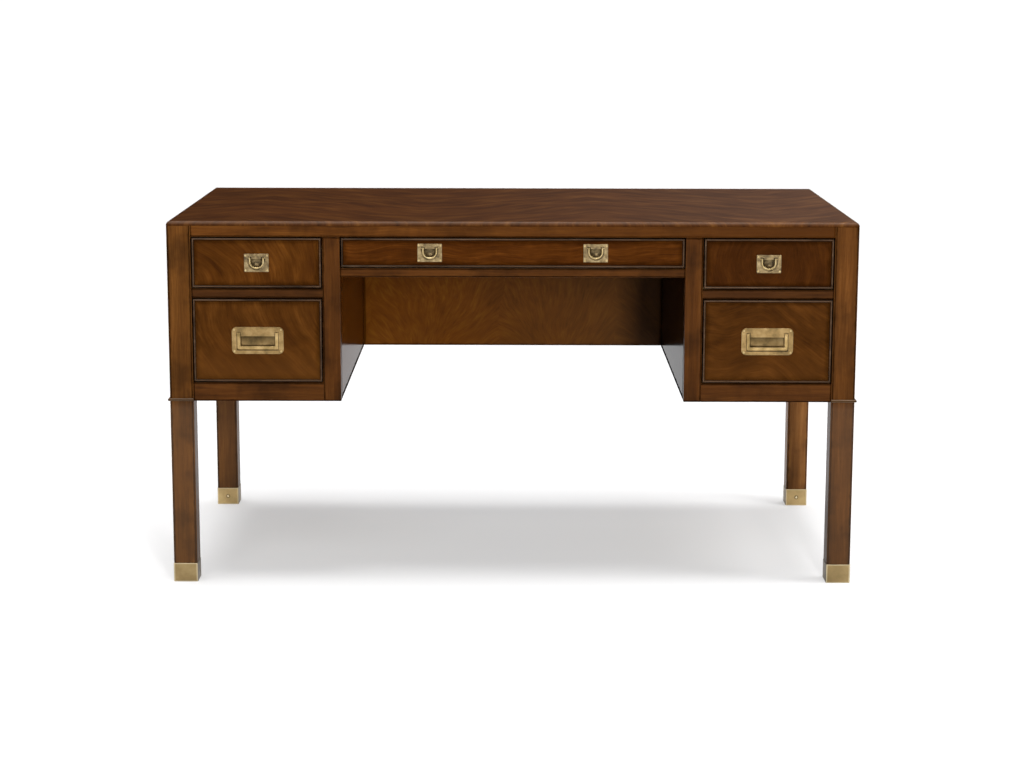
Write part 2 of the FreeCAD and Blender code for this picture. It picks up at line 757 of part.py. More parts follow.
def widened(lines):
    # sockets run one millimetre past the back face along the same slopes
    for a, b, c, d in lines:
        step = "(dovetail_flare / dovetail_length)"
        yield f"{a} + {step}", b, c, f"{d} - {step}"


left_x = sided(-1, stile_out, post_in)
right_x = sided(1, stile_out, post_in)
left_mid = f"(({left_x[0]} + {left_x[1]}) / 2)"
right_mid = f"(({right_x[0]} + {right_x[1]}) / 2)"
upper_z = (upper_low, upper_top)
lower_z = (lower_low, lower_top)
drawer("upper_left", left_x, upper_z, "drawer_length", 3, [("upper_left", "small", left_mid)])
drawer("upper_right", right_x, upper_z, "drawer_length", 3, [("upper_right", "small", right_mid)])
drawer("lower_left", left_x, lower_z, "drawer_length", 5, [("lower_left", "large", left_mid)])
drawer("lower_right", right_x, lower_z, "drawer_length", 5, [("lower_right", "large", right_mid)])
half_spacing = "(center_pull_spacing / 2)"
pair = [("center_left", "small", f"(-{half_spacing})"), ("center_right", "small", half_spacing)]
drawer("center", (f"-{knee}", knee), (center_low, upper_top), "center_length", 2, pair)

# Check and write
doc.recompute()
for each in doc.Objects:
    if "Invalid" in each.State or "Error" in each.State:
        raise RuntimeError(f"{each.Label} is {each.State}")
os.makedirs("parts", exist_ok=True)
for piece in nodes:
    if piece.Shape.isNull() or not piece.Shape.isValid():
        raise RuntimeError(f"{piece.Label} has no valid shape")
    piece.Shape.exportStep(f"parts/{piece.Label}.step")
    print(piece.Label, len(piece.Shape.Solids), round(piece.Shape.Volume))
print(len(nodes), "nodes")
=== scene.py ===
import math

import bpy
import numpy as np
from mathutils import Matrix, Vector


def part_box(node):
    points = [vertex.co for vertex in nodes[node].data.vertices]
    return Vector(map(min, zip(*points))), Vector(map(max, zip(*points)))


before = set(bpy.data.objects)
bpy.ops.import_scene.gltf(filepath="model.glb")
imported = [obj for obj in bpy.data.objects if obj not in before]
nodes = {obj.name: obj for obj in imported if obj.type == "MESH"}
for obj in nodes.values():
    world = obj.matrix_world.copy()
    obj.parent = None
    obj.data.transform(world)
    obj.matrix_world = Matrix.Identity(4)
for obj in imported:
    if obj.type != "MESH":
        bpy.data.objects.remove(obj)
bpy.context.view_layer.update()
scene = bpy.context.scene
scene.view_settings.view_transform = "Standard"
print("frame loaded:", len(nodes), "nodes")


def linearColor(code):
    # sRGB hex to linear red, green, blue and a full alpha
    parts = np.array([int(code[i:i + 2], 16) for i in (1, 3, 5)]) / 255.0
    low = parts / 12.92
    high = ((parts + 0.055) / 1.055) ** 2.4
    return (*np.where(parts <= 0.04045, low, high).tolist(), 1.0)


def addNode(tree, kind, links=None, stops=(), **settings):
    # one node with its settings; links gives each socket a value or another node's output,
    # stops are a ramp's (position, hex) pairs
    node = tree.nodes.new("ShaderNode" + kind)
    for name, value in settings.items():
        setattr(node, name, value)
    for place, (position, code) in enumerate(stops):
        elements = node.color_ramp.elements
        element = elements[place] if place < len(elements) else elements.new(position)
        element.position = position
        element.color = linearColor(code)
    for socket, value in (links or {}).items():
        if isinstance(value, bpy.types.Node):
            value = value.outputs[0]
        if isinstance(value, bpy.types.NodeSocket):
            tree.links.new(value, node.inputs[socket])
        else:
            node.inputs[socket].default_value = value
    return node


def newMaterial(name):
    material = bpy.data.materials.new(name)
    material.use_nodes = True
    tree = material.node_tree
    tree.nodes.clear()
    return material, tree


def dress(nodeName, material):
    mesh = nodes[nodeName].data
    mesh.materials.clear()
    mesh.materials.append(material)


def edgeDistance(tree, point, facing, lo, hi):
    # metres from the nearest edge of the node's box, the axis that the face looks along left out
    center = [(a + b) / 2 for a, b in zip(lo, hi)]
    half = [(b - a) / 2 for a, b in zip(lo, hi)]
    offset = addNode(tree, "VectorMath", {0: point, 1: center}, operation="SUBTRACT")
    size = addNode(tree, "VectorMath", {0: offset}, operation="ABSOLUTE")
    room = addNode(tree, "VectorMath", {0: half, 1: size}, operation="SUBTRACT")
    room = addNode(tree, "VectorMath", {0: room, 1: facing}, operation="ADD")
    parts = addNode(tree, "SeparateXYZ", {0: room}).outputs
    nearest = addNode(tree, "Math", {0: parts[0], 1: parts[1]}, operation="MINIMUM")
    return addNode(tree, "Math", {0: nearest, 1: parts[2]}, operation="MINIMUM")


# what all the veneers share: sizes in millimetres, and the stretch of a noise or a normal that counts
veneerSpec = {
    "poreWide": 0.8, "poreLong": 16, "poreDeep": 0.4, "poreStart": 0.56, "poreFull": 0.7,
    "smudgeStart": 0.48, "smudgeFull": 0.68,
    "raggedSize": 18, "raggedLeast": 0.8, "raggedMost": 1.2,
    "crownStart": 0.84, "crownFull": 0.98,
    "roundFull": 0.86, "roundStart": 0.99,
    "cornerStretch": 1.3,
}
noiseLow, noiseHigh = 0.3, 0.7  # nearly all of a noise lies between these
fullPolish = 0.5  # the shader's usual specular level


def roundness(tree, facing):
    # 0 on a face that looks along an axis, 1 on a rounded edge
    parts = addNode(tree, "SeparateXYZ", {0: facing}).outputs
    most = addNode(tree, "Math", {0: parts[0], 1: parts[1]}, operation="MAXIMUM")
    most = addNode(tree, "Math", {0: most, 1: parts[2]}, operation="MAXIMUM")
    return addNode(tree, "MapRange", {"Value": most, "From Min": veneerSpec["roundFull"],
                                      "From Max": veneerSpec["roundStart"], "To Min": 1.0, "To Max": 0.0})


# figures of the veneer: each gives the distance across the streaks and the distance along them, in metres

def straightFigure(tree, xyz, spec, lo, hi):
    # streaks run along one axis; the other two are added, one of them stretched, so the pattern goes
    # round a corner
    along = "XYZ".index(spec["axis"])
    first, second = [i for i in range(3) if i != along]
    inputs = {0: xyz[second], 1: veneerSpec["cornerStretch"], 2: xyz[first]}
    across = addNode(tree, "Math", inputs, operation="MULTIPLY_ADD")
    return across, xyz[along]


def plumeFigure(tree, xyz, spec, lo, hi):
    # streaks stand upright at one edge; with the square of the distance from it they lean to one side
    # and spread from a middle line
    rise = addNode(tree, "Math", {0: xyz[2], 1: spec["base"]}, operation="SUBTRACT")
    square = addNode(tree, "Math", {0: rise, 1: rise}, operation="MULTIPLY")
    side = addNode(tree, "Math", {0: xyz[0], 1: spec["middle"]}, operation="SUBTRACT")
    leaned = addNode(tree, "Math", {0: square, 1: spec["bend"], 2: side}, operation="MULTIPLY_ADD")
    opened = addNode(tree, "Math", {0: square, 1: spec["open"], 2: 1.0}, operation="MULTIPLY_ADD")
    across = addNode(tree, "Math", {0: leaned, 1: opened}, operation="DIVIDE")
    return across, xyz[2]


def leafFigure(tree, xyz, spec, lo, hi):
    # streaks lie aslant in leaves side by side, each the mirror image of the next
    place = addNode(tree, "Math", {0: xyz[0], 1: spec["first"]}, operation="SUBTRACT")
    side = addNode(tree, "Math", {0: place, 1: spec["leaf"]}, operation="PINGPONG")
    across = addNode(tree, "Math", {0: side, 1: spec["slant"], 2: xyz[1]}, operation="MULTIPLY_ADD")
    along = addNode(tree, "Math", {0: xyz[1], 1: -spec["slant"], 2: side}, operation="MULTIPLY_ADD")
    return across, along


def ringFigure(tree, xyz, spec, lo, hi):
    # streaks are flat rings about the middle of the piece
    middle = [(a + b) / 2 for a, b in zip(lo, hi)]
    side = addNode(tree, "Math", {0: xyz[0], 1: middle[0]}, operation="SUBTRACT")
    rise = addNode(tree, "Math", {0: xyz[2], 1: middle[2]}, operation="SUBTRACT")
    rise = addNode(tree, "Math", {0: rise, 1: spec["flat"]}, operation="MULTIPLY")
    ring = addNode(tree, "CombineXYZ", {0: side, 1: rise})
    radius = addNode(tree, "VectorMath", {0: ring}, operation="LENGTH").outputs["Value"]
    return radius, xyz[2]


def archFigure(tree, xyz, spec, lo, hi):
    # streaks slope down to the right and rise in a bell curve over the pull
    middle = (lo[0] + hi[0]) / 2
    side = addNode(tree, "Math", {0: xyz[0], 1: middle}, operation="SUBTRACT")
    slope = addNode(tree, "Math", {0: side, 1: spec["slope"], 2: xyz[2]}, operation="MULTIPLY_ADD")
    part = addNode(tree, "Math", {0: side, 1: spec["spread"]}, operation="DIVIDE")
    square = addNode(tree, "Math", {0: part, 1: part}, operation="MULTIPLY")
    below = addNode(tree, "Math", {0: 0.0, 1: square}, operation="SUBTRACT")
    bell = addNode(tree, "Math", {0: below}, operation="EXPONENT")
    across = addNode(tree, "Math", {0: bell, 1: -spec["height"], 2: slope}, operation="MULTIPLY_ADD")
    return across, xyz[0]


def fanFigure(tree, xyz, spec, lo, hi):
    # streaks spread from points below the panel, one every pitch, each at an even angle
    start = spec["first"] - spec["pitch"] / 2
    moved = addNode(tree, "Math", {0: xyz[0], 1: start}, operation="SUBTRACT")
    place = addNode(tree, "Math", {0: moved, 1: spec["pitch"]}, operation="FLOORED_MODULO")
    side = addNode(tree, "Math", {0: place, 1: spec["pitch"] / 2}, operation="SUBTRACT")
    rise = addNode(tree, "Math", {0: xyz[2], 1: spec["focus"]}, operation="SUBTRACT")
    angle = addNode(tree, "Math", {0: side, 1: rise}, operation="ARCTAN2")
    count = addNode(tree, "Math", {0: moved, 1: spec["pitch"]}, operation="DIVIDE")
    count = addNode(tree, "Math", {0: count}, operation="FLOOR")
    across = addNode(tree, "Math", {0: angle, 1: spec["radius"], 2: count}, operation="MULTIPLY_ADD")
    return across, rise


# lacquered mahogany veneer: straight or figured streaks, dark pores, a darker border along the edges that
# is partly glaze and partly painted shade
def mahogany(name, spec, figure, nodeName):
    lo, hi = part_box(nodeName)
    hi = (hi[0], hi[1], hi[2] + spec["covered"] / 1000)
    material, tree = newMaterial(name)
    point = addNode(tree, "TexCoord").outputs["Object"]
    # the grain wanders: a slow noise pushes the pattern to and fro
    drift = addNode(tree, "TexNoise", {"Vector": point, "Scale": 1000 / spec["driftSize"], "Detail": 1.0})
    drift = addNode(tree, "VectorMath", {0: drift.outputs[1], 1: (0.5, 0.5, 0.5)}, operation="SUBTRACT")
    drift = addNode(tree, "VectorMath", {0: drift, "Scale": spec["drift"] / 1000}, operation="SCALE")
    moved = addNode(tree, "VectorMath", {0: point, 1: drift}, operation="ADD")
    xyz = addNode(tree, "SeparateXYZ", {0: moved}).outputs
    across, along = figure(tree, xyz, spec, lo, hi)
    streaks = addNode(tree, "CombineXYZ", {0: across, 1: along, 2: spec["seed"]})
    total = None
    for width, length, weight in spec["layers"]:
        size = (1000 / width, 1000 / length, 1.0)
        stretched = addNode(tree, "Mapping", {"Vector": streaks, "Scale": size})
        layer = addNode(tree, "TexNoise", {"Vector": stretched, "Scale": 1.0, "Detail": 2.5,
                                           "Roughness": 0.55})
        inputs = {0: layer, 1: weight, 2: total or 0.0}
        total = addNode(tree, "Math", inputs, operation="MULTIPLY_ADD")
    dark, mid, light = spec["colors"]
    spread = spec["contrast"]
    ramp = addNode(tree, "ValToRGB", {"Fac": total},
                   stops=[(0.5 - spread, dark), (0.5, mid), (0.5 + spread, light)])
    # pores: real ones are 0.3 mm wide, drawn at 0.8 mm so that they show
    size = (1000 / veneerSpec["poreWide"], 1000 / veneerSpec["poreLong"], 1.0)
    dash = addNode(tree, "Mapping", {"Vector": streaks, "Scale": size})
    dash = addNode(tree, "TexNoise", {"Vector": dash, "Scale": 1.0, "Detail": 1.0})
    pores = addNode(tree, "MapRange", {"Value": dash, "From Min": veneerSpec["poreStart"],
                                       "From Max": veneerSpec["poreFull"],
                                       "To Min": 1.0, "To Max": 1.0 - spec["pores"]})
    # broad light and dark patches of the polished sheet
    cloud = addNode(tree, "TexNoise", {"Vector": moved, "Scale": 1000 / spec["cloudSize"], "Detail": 2.0})
    cloud = addNode(tree, "MapRange", {"Value": cloud, "From Min": noiseLow, "From Max": noiseHigh,
                                       "To Min": 1.0 - spec["cloud"], "To Max": 1.0 + spec["cloud"]})
    # dark stain that the polisher left in smudges
    smudge = addNode(tree, "TexNoise", {"Vector": point, "Scale": 1000 / spec["smudgeSize"], "Detail": 3.0,
                                        "Roughness": 0.6})
    smudge = addNode(tree, "MapRange", {"Value": smudge, "From Min": veneerSpec["smudgeStart"],
                                        "From Max": veneerSpec["smudgeFull"],
                                        "To Min": 1.0, "To Max": 1.0 - spec["smudge"]})
    # and as a dark border with a ragged inner edge along the edges of the piece: partly glaze, partly
    # painted shade that widens the dark gaps and joints
    facing = addNode(tree, "NewGeometry").outputs["Normal"]
    facing = addNode(tree, "VectorMath", {0: facing}, operation="ABSOLUTE")
    edge = edgeDistance(tree, point, facing, lo, hi)
    ragged = addNode(tree, "TexNoise", {"Vector": point, "Scale": 1000 / veneerSpec["raggedSize"],
                                        "Detail": 3.0})
    ragged = addNode(tree, "MapRange", {"Value": ragged, "From Min": noiseLow, "From Max": noiseHigh,
                                        "To Min": veneerSpec["raggedLeast"],
                                        "To Max": veneerSpec["raggedMost"]})
    edge = addNode(tree, "Math", {0: edge, 1: ragged}, operation="MULTIPLY")
    inset = spec["inset"] / 1000
    glazeShade = addNode(tree, "MapRange", {"Value": edge, "From Min": inset,
                                       "From Max": inset + spec["glazeShade"] / 1000,
                                       "To Min": spec["glazeShadeDark"], "To Max": 1.0},
                    interpolation_type="SMOOTHSTEP")
    shade = addNode(tree, "Math", {0: pores, 1: cloud}, operation="MULTIPLY")
    shade = addNode(tree, "Math", {0: shade, 1: smudge}, operation="MULTIPLY")
    shade = addNode(tree, "Math", {0: shade, 1: glazeShade}, operation="MULTIPLY")
    if spec["crown"] < 1.0:
        # painted highlight and painted shade: the crown that faces the front keeps its colour, the sides
        # that turn away from the front are darkened
        front = addNode(tree, "SeparateXYZ", {0: facing}).outputs[1]
        crown = addNode(tree, "MapRange", {"Value": front, "From Min": veneerSpec["crownStart"],
                                           "From Max": veneerSpec["crownFull"],
                                           "To Min": spec["crown"], "To Max": 1.0})
        shade = addNode(tree, "Math", {0: shade, 1: crown}, operation="MULTIPLY")
    color = addNode(tree, "Mix", {0: 1.0, 6: ramp, 7: shade}, data_type="RGBA", blend_type="MULTIPLY")
    rounded = roundness(tree, facing)
    if spec["edgeHighlight"]:
        # painted highlight: rounded edges are made pale, standing in for the light they catch
        edgeHighlight = addNode(tree, "Math", {0: rounded, 1: spec["edgeHighlight"]}, operation="MULTIPLY")
        pale = linearColor(spec["edgeHighlightColor"])
        color = addNode(tree, "Mix", {0: edgeHighlight, 6: color.outputs[2], 7: pale}, data_type="RGBA")
    if spec["graded"]:
        # the colour shifts towards one end of the piece; this carries painted shade and a painted
        # reflection, and a lighter lower part of some fronts
        grade = spec["graded"]
        place = addNode(tree, "SeparateXYZ", {0: point}).outputs["XYZ".index(grade["axis"])]
        graded = addNode(tree, "MapRange", {"Value": place, "From Min": grade["start"],
                                           "From Max": grade["end"],
                                           "To Min": 0.0, "To Max": grade["amount"]})
        color = addNode(tree, "Mix", {0: graded, 6: color.outputs[2], 7: linearColor(grade["color"])},
                        data_type="RGBA")
    gloss = addNode(tree, "MapRange", {"Value": total, "From Min": noiseLow, "From Max": noiseHigh,
                                       "To Min": spec["roughness"] + spec["swing"],
                                       "To Max": spec["roughness"] - spec["swing"]})
    # rounded edges are rubbed smoother than the faces
    rubbed = addNode(tree, "Math", {0: rounded, 1: -spec["rub"], 2: gloss}, operation="MULTIPLY_ADD")
    # the dark border is dull
    polish = addNode(tree, "MapRange", {"Value": glazeShade, "From Min": spec["glazeShadeDark"], "From Max": 1.0,
                                        "To Min": 0.0, "To Max": fullPolish})
    bump = addNode(tree, "Bump", {"Strength": spec["relief"], "Distance": veneerSpec["poreDeep"] / 1000,
                                  "Height": pores})
    surface = addNode(tree, "BsdfPrincipled", {"Base Color": color.outputs[2], "Roughness": rubbed,
                                               "IOR": spec["ior"], "Specular IOR Level": polish,
                                               "Normal": bump})
    addNode(tree, "OutputMaterial", {"Surface": surface})
    return material


def veneer(nodeName, finish, spec, figure=straightFigure):
    # dresses one node in a material of its own, named for the finish and the node
    dress(nodeName, mahogany(finish + "_" + nodeName, spec, figure, nodeName))


# sizes in millimetres; a layer of streaks is its width, its length and its share
frameWood = {
    "colors": ("#3e240b", "#5f3914", "#7d4f21"), "contrast": 0.23,
    "layers": [(18, 260, 0.45), (6, 140, 0.3), (1.6, 60, 0.25)],
    "axis": "Z", "seed": 0.0, "drift": 9, "driftSize": 160, "pores": 0.2, "cloud": 0.12, "cloudSize": 90,
    "inset": 1.3, "glazeShade": 3.5, "glazeShadeDark": 0.16, "crown": 1.0,
    "roughness": 0.34, "swing": 0.045, "rub": 0.12, "relief": 0.05, "ior": 1.14,
    "covered": 0, "edgeHighlight": 0.0, "edgeHighlightColor": "#a58d78", "graded": None, "smudge": 0.42, "smudgeSize": 80,
}
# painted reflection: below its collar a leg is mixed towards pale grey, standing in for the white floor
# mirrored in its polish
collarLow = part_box("post_collars")[0][2]
legFloorSheen = {"axis": "Z", "start": collarLow + 0.005, "end": collarLow - 0.015, "amount": 0.085,
           "color": "#a58d78"}
postWood = dict(frameWood, covered=30, inset=1.8, glazeShade=4.5, graded=legFloorSheen)
posts = {
    "front_left_post": dict(postWood, seed=1.0),
    # painted shade: the front right post has darker colours, for the weaker light on the right
    "front_right_post": dict(postWood, seed=2.0, colors=("#392009", "#563211", "#72461d")),
    "rear_left_post": dict(postWood, seed=3.0),
    # painted light: the rear right post has lighter colours, for the light that falls on it
    "rear_right_post": dict(postWood, seed=4.0, colors=("#683f1b", "#97612d", "#bc8041")),
}
for nodeName, spec in posts.items():
    veneer(nodeName, "mahogany", spec)
# the boards between the posts are a shade darker than the posts, and the front rail is painted darker to
# the right, a painted shade of the light falling off
boardWood = dict(frameWood, axis="X", glazeShade=2.5, colors=("#341c07", "#502d0f", "#6c4119"))
railShade = {"axis": "X", "start": -0.5, "end": 0.6, "amount": 0.8, "color": "#442408"}
boards = {
    "front_top_rail": dict(boardWood, seed=6.0, colors=("#3e2109", "#603712", "#804f1e"), covered=30,
                           graded=railShade),
    "rear_top_rail": dict(boardWood, seed=7.0),
    "center_rail": dict(boardWood, seed=8.0),
    "mid_rails": dict(boardWood, seed=9.0, colors=("#2c1806", "#44260d", "#5c3715")),
    "bottom_rails": dict(boardWood, seed=10.0),
    "pedestal_stiles": dict(boardWood, seed=5.0, axis="Z", glazeShade=3.5),
}
for nodeName, spec in boards.items():
    veneer(nodeName, "mahogany", spec)
# the collar beads hold dark stain, and where they are rounded they are painted pale, a painted highlight
collarWood = dict(frameWood, seed=11.0, axis="X", inset=1.0, glazeShade=1.5, edgeHighlight=0.3,
                  colors=("#2a190b", "#463019", "#62492c"))
dress("post_collars", mahogany("stained_mahogany_collars", collarWood, straightFigure, "post_collars"))
print("posts, stiles and rails dressed")

# the top: leaves of swirling veneer side by side, less glossy than the frame; its rounded front edge has a
# painted highlight, and its wide dark border is partly glaze, partly painted shade under the edge
topWood = dict(
    frameWood, colors=("#2b1609", "#48270d", "#653f1a"), contrast=0.17, seed=12.0, drift=90, driftSize=260,
    first=-0.56, leaf=0.37, slant=0.9, layers=[(44, 260, 0.36), (15, 150, 0.34), (5, 90, 0.3)],
    cloud=0.12, cloudSize=260, inset=0, glazeShade=14, glazeShadeDark=0.75, roughness=0.44, rub=0.16, ior=1.14,
    edgeHighlight=0.1, smudge=0.0,
)
dress("desk_top", mahogany("mahogany_top_veneer", topWood, leafFigure, "desk_top"))

# panels of the sides and the back: wide boards with long streaks
panelWood = dict(
    frameWood, colors=("#341a07", "#532e10", "#714218"), axis="X", drift=40, driftSize=240, seed=13.0,
    layers=[(40, 320, 0.4), (12, 170, 0.35), (3, 70, 0.25)], cloud=0.12, cloudSize=200, smudge=0.16,
)
sidePanels = {"left_side_panel": 14.0, "right_side_panel": 15.0}
for nodeName, seed in sidePanels.items():
    veneer(nodeName, "mahogany", dict(panelWood, seed=seed, axis="Y"))
veneer("back_panels", "mahogany", panelWood)
# the walls of the kneehole are plain boards, polished evenly
innerWood = dict(
    panelWood, colors=("#3e1e05", "#592d09", "#723e10"), axis="Y", drift=6, driftSize=400,
    layers=[(60, 1400, 0.4), (18, 1100, 0.35), (6, 800, 0.25)], pores=0.08, cloud=0.08, smudge=0.0,
    inset=8, glazeShade=3, roughness=0.14, swing=0.01, relief=0.0, ior=1.025,
)
innerSides = {
    "left_inner_side": dict(innerWood, seed=16.0),
    # painted shade: the right inner wall has far darker colours than the left, for the deep shade at that
    # end of the kneehole
    "right_inner_side": dict(innerWood, seed=17.0, colors=("#150901", "#221003", "#301805")),
}
for nodeName, spec in innerSides.items():
    veneer(nodeName, "polished_mahogany", spec)

# crotch veneer of the kneehole back: short golden hairs that fan upwards; towards the right the colour is
# shifted to a dark grey-brown, a painted shade
fanWood = dict(
    frameWood, colors=("#4b2606", "#6c3c0c", "#8c5817"), contrast=0.25, seed=18.0, drift=85, driftSize=150,
    layers=[(30, 60, 0.25), (9, 36, 0.27), (3.6, 28, 0.28), (1.8, 22, 0.2)],
    cloud=0.15, cloudSize=140, smudge=0.0,
    first=-0.19, pitch=0.3, focus=0.31, radius=0.16, glazeShade=5, glazeShadeDark=0.3,
    graded={"axis": "X", "start": -0.15, "end": 0.3, "amount": 0.6, "color": "#3e2f1d"},
)
dress("modesty_panel", mahogany("mahogany_crotch_veneer", fanWood, fanFigure, "modesty_panel"))
print("top and panels dressed")

# drawer fronts: one sheet of figured veneer each, with a glazed border inside the bead
frontWood = dict(
    frameWood, colors=("#321705", "#522d0b", "#744517"), contrast=0.2, drift=26, driftSize=90,
    layers=[(46, 110, 0.34), (15, 70, 0.3), (5, 50, 0.2), (1.8, 34, 0.16)], cloud=0.22, cloudSize=70,
    inset=4, glazeShade=12, glazeShadeDark=0.5, smudge=0.3, smudgeSize=70, ior=1.09,
)
# the large fronts are a shade lighter below their pulls
lowFade = {"axis": "Z", "start": 0.51, "end": 0.46, "amount": 0.3, "color": "#6c421a"}
drawerFronts = {
    "upper_left": (plumeFigure, dict(frontWood, seed=21.0, base=0.622, middle=-0.49, bend=5.0, open=45.0)),
    "lower_left": (plumeFigure, dict(frontWood, seed=22.0, base=0.605, middle=-0.56, bend=-3.5, open=9.0,
                                     colors=("#321805", "#502d0c", "#6e4217"), graded=lowFade)),
    "upper_right": (ringFigure, dict(frontWood, seed=23.0, flat=0.75, contrast=0.22,
                                     colors=("#2a1303", "#402006", "#58310d"))),
    "lower_right": (archFigure, dict(frontWood, seed=24.0, slope=0.3, spread=0.07, height=0.05,
                                     colors=("#2f1705", "#4b2a0b", "#683d15"),
                                     graded=dict(lowFade, amount=0.14))),
    "center": (straightFigure, dict(frontWood, seed=25.0, axis="X", drift=30, driftSize=150,
                                    colors=("#311504", "#4d2707", "#6b3b11"),
                                    layers=[(30, 150, 0.34), (9, 90, 0.36), (2.4, 50, 0.3)])),
}
# the bead is stained dark; its crown keeps a paler colour and its sides are darkened, a painted highlight
# and painted shade
beadWood = dict(
    frameWood, colors=("#38291c", "#553f2e", "#745d49"), axis="X", inset=0, glazeShade=0.6, glazeShadeDark=0.6,
    crown=0.42, roughness=0.26, cloud=0.05, smudge=0.65, smudgeSize=90,
)
# poplar of the drawer boxes: pale, plain, sanded and only sealed
poplarWood = dict(
    frameWood, colors=("#9a7a4c", "#b99663", "#cdb083"), contrast=0.2, pores=0.1, cloud=0.06, cloudSize=200,
    smudge=0.0, inset=0, glazeShade=2, glazeShadeDark=0.85, roughness=0.55, rub=0.0, ior=1.4, seed=30.0,
)
for drawer, (figure, spec) in drawerFronts.items():
    veneer(drawer + "_drawer_front", "mahogany", spec, figure)
    veneer(drawer + "_cock_bead", "dark_mahogany", beadWood)
    veneer(drawer + "_drawer_box", "poplar", dict(poplarWood, axis="Y", seed=spec["seed"]))
    veneer(drawer + "_drawer_bottom", "poplar", dict(poplarWood, axis="X", seed=spec["seed"]))
hidden = {"pedestal_floors": "X", "drawer_runners": "Y", "kickers_and_guides": "Y", "drawer_stops": "X"}
for nodeName, axis in hidden.items():
    veneer(nodeName, "poplar", dict(poplarWood, axis=axis))
print("drawers dressed")


# what all the brass shares: sizes in millimetres, the patches' spread and what they do to the roughness
castSpec = {
    "patinaShadeDeep": 5, "wellFoot": 8, "wellHead": 9, "brushLong": 14, "brushWide": 0.5, "brushDeep": 0.2,
    "relief": 0.1, "dull": 0.1, "bright": 0.06, "spread": 0.18,
}


